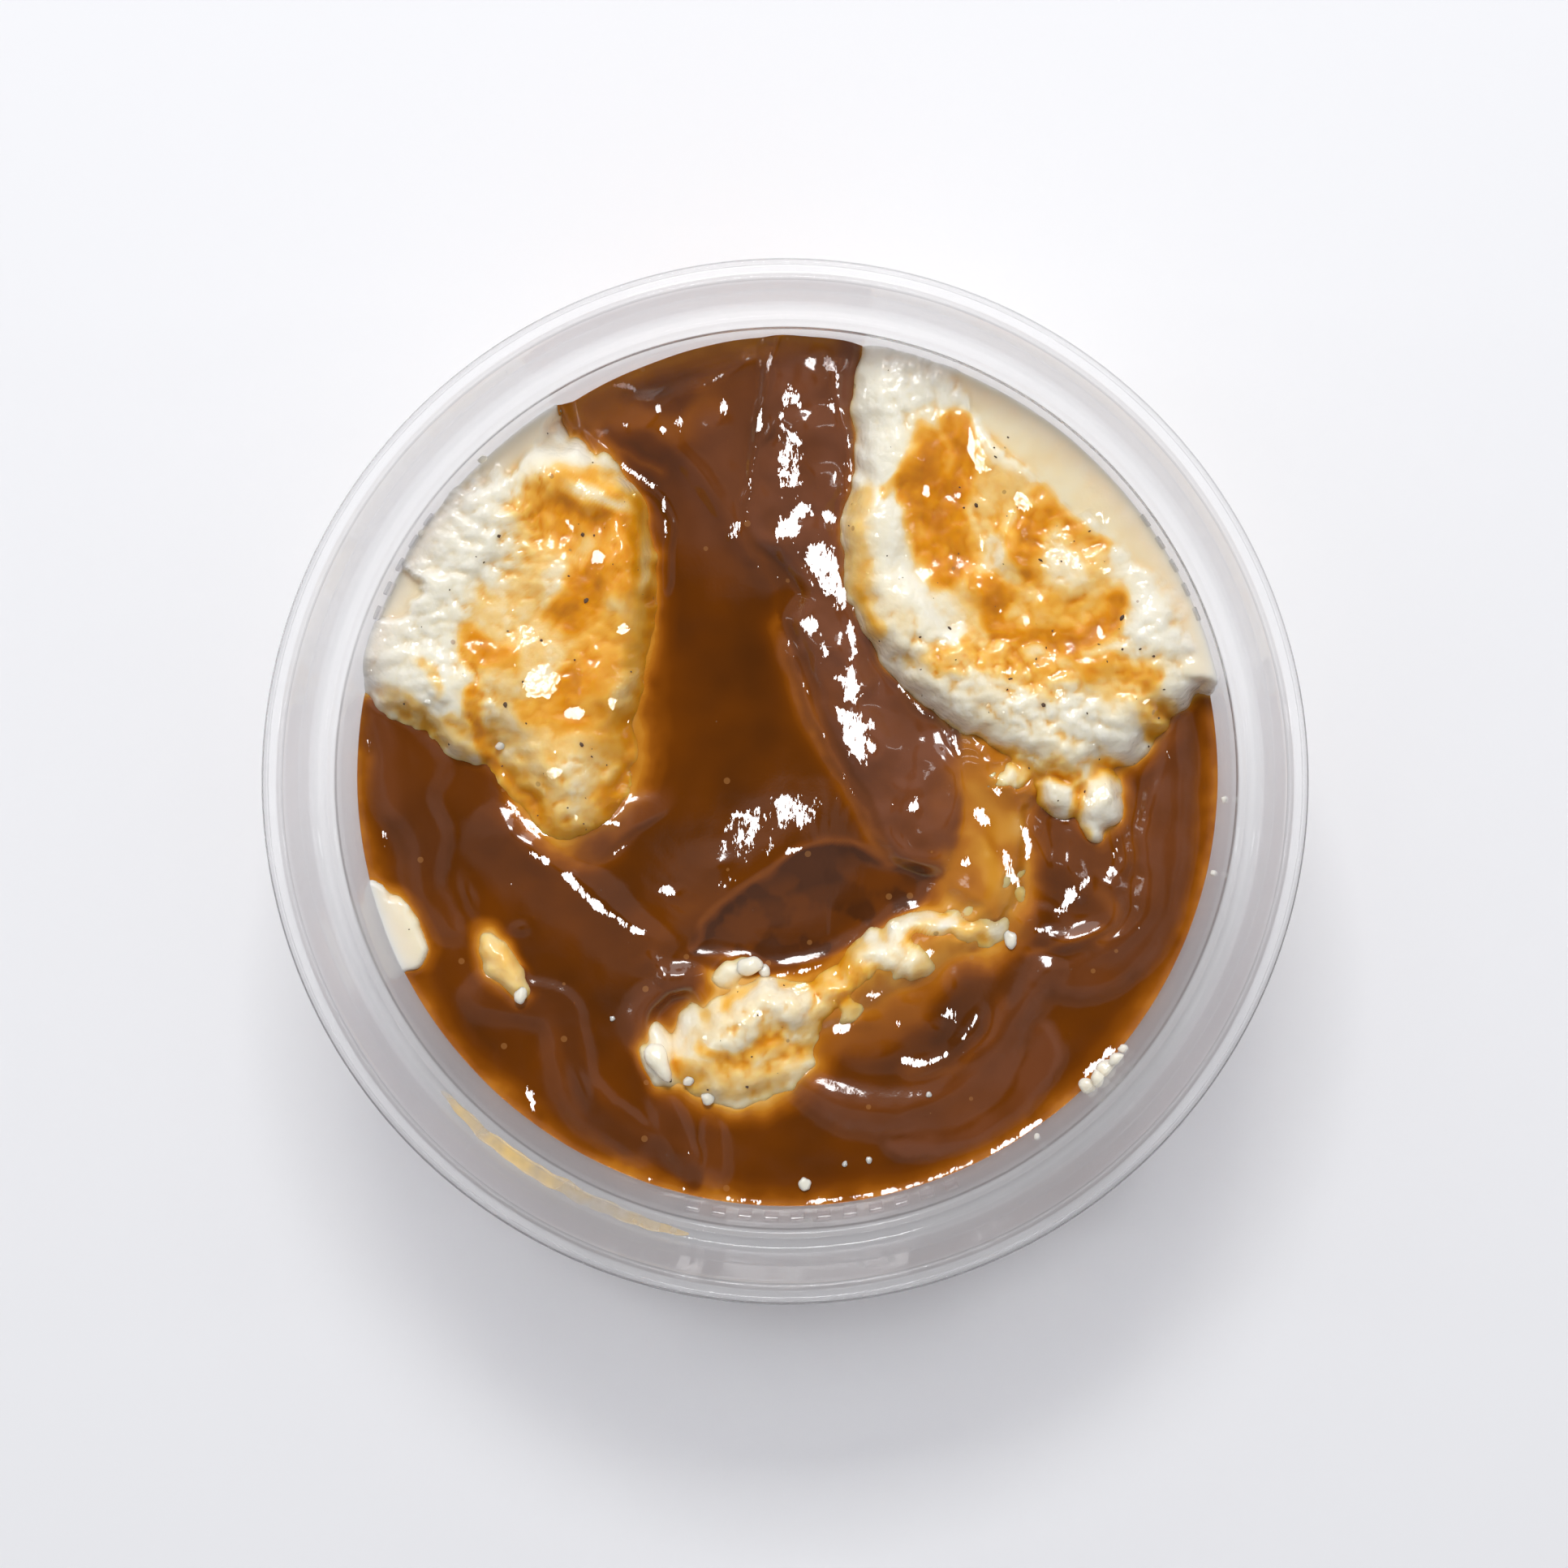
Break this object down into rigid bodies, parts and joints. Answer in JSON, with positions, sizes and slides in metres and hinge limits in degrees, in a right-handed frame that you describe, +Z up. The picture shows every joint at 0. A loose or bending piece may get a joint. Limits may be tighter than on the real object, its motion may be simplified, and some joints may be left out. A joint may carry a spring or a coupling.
{
  "type": "mashed potato side in a tub",
  "caption": "Round clear plastic tub with mounds of mashed potato standing in a pool of set brown gravy.",
  "frame": {"origin": "middle of the tub's foot, on the surface it stands on", "axes": "+Z up the tub's axis, +Y to the back, +X to the right seen from above"},
  "size_m": [0.117, 0.117, 0.045],
  "materials": {
    "clear_plastic": "smooth clear moulded plastic with bright rim edges",
    "mashed_potato": "moist lumpy mash, cream white, stained amber by the gravy, with pepper specks",
    "brown_gravy": "glossy set brown gravy with a wrinkled skin, amber where thin"
  },
  "bodies": {
    "root": {"tub": "clear_plastic", "mash": "mashed_potato", "gravy": "brown_gravy"}
  },
  "joints": []
}
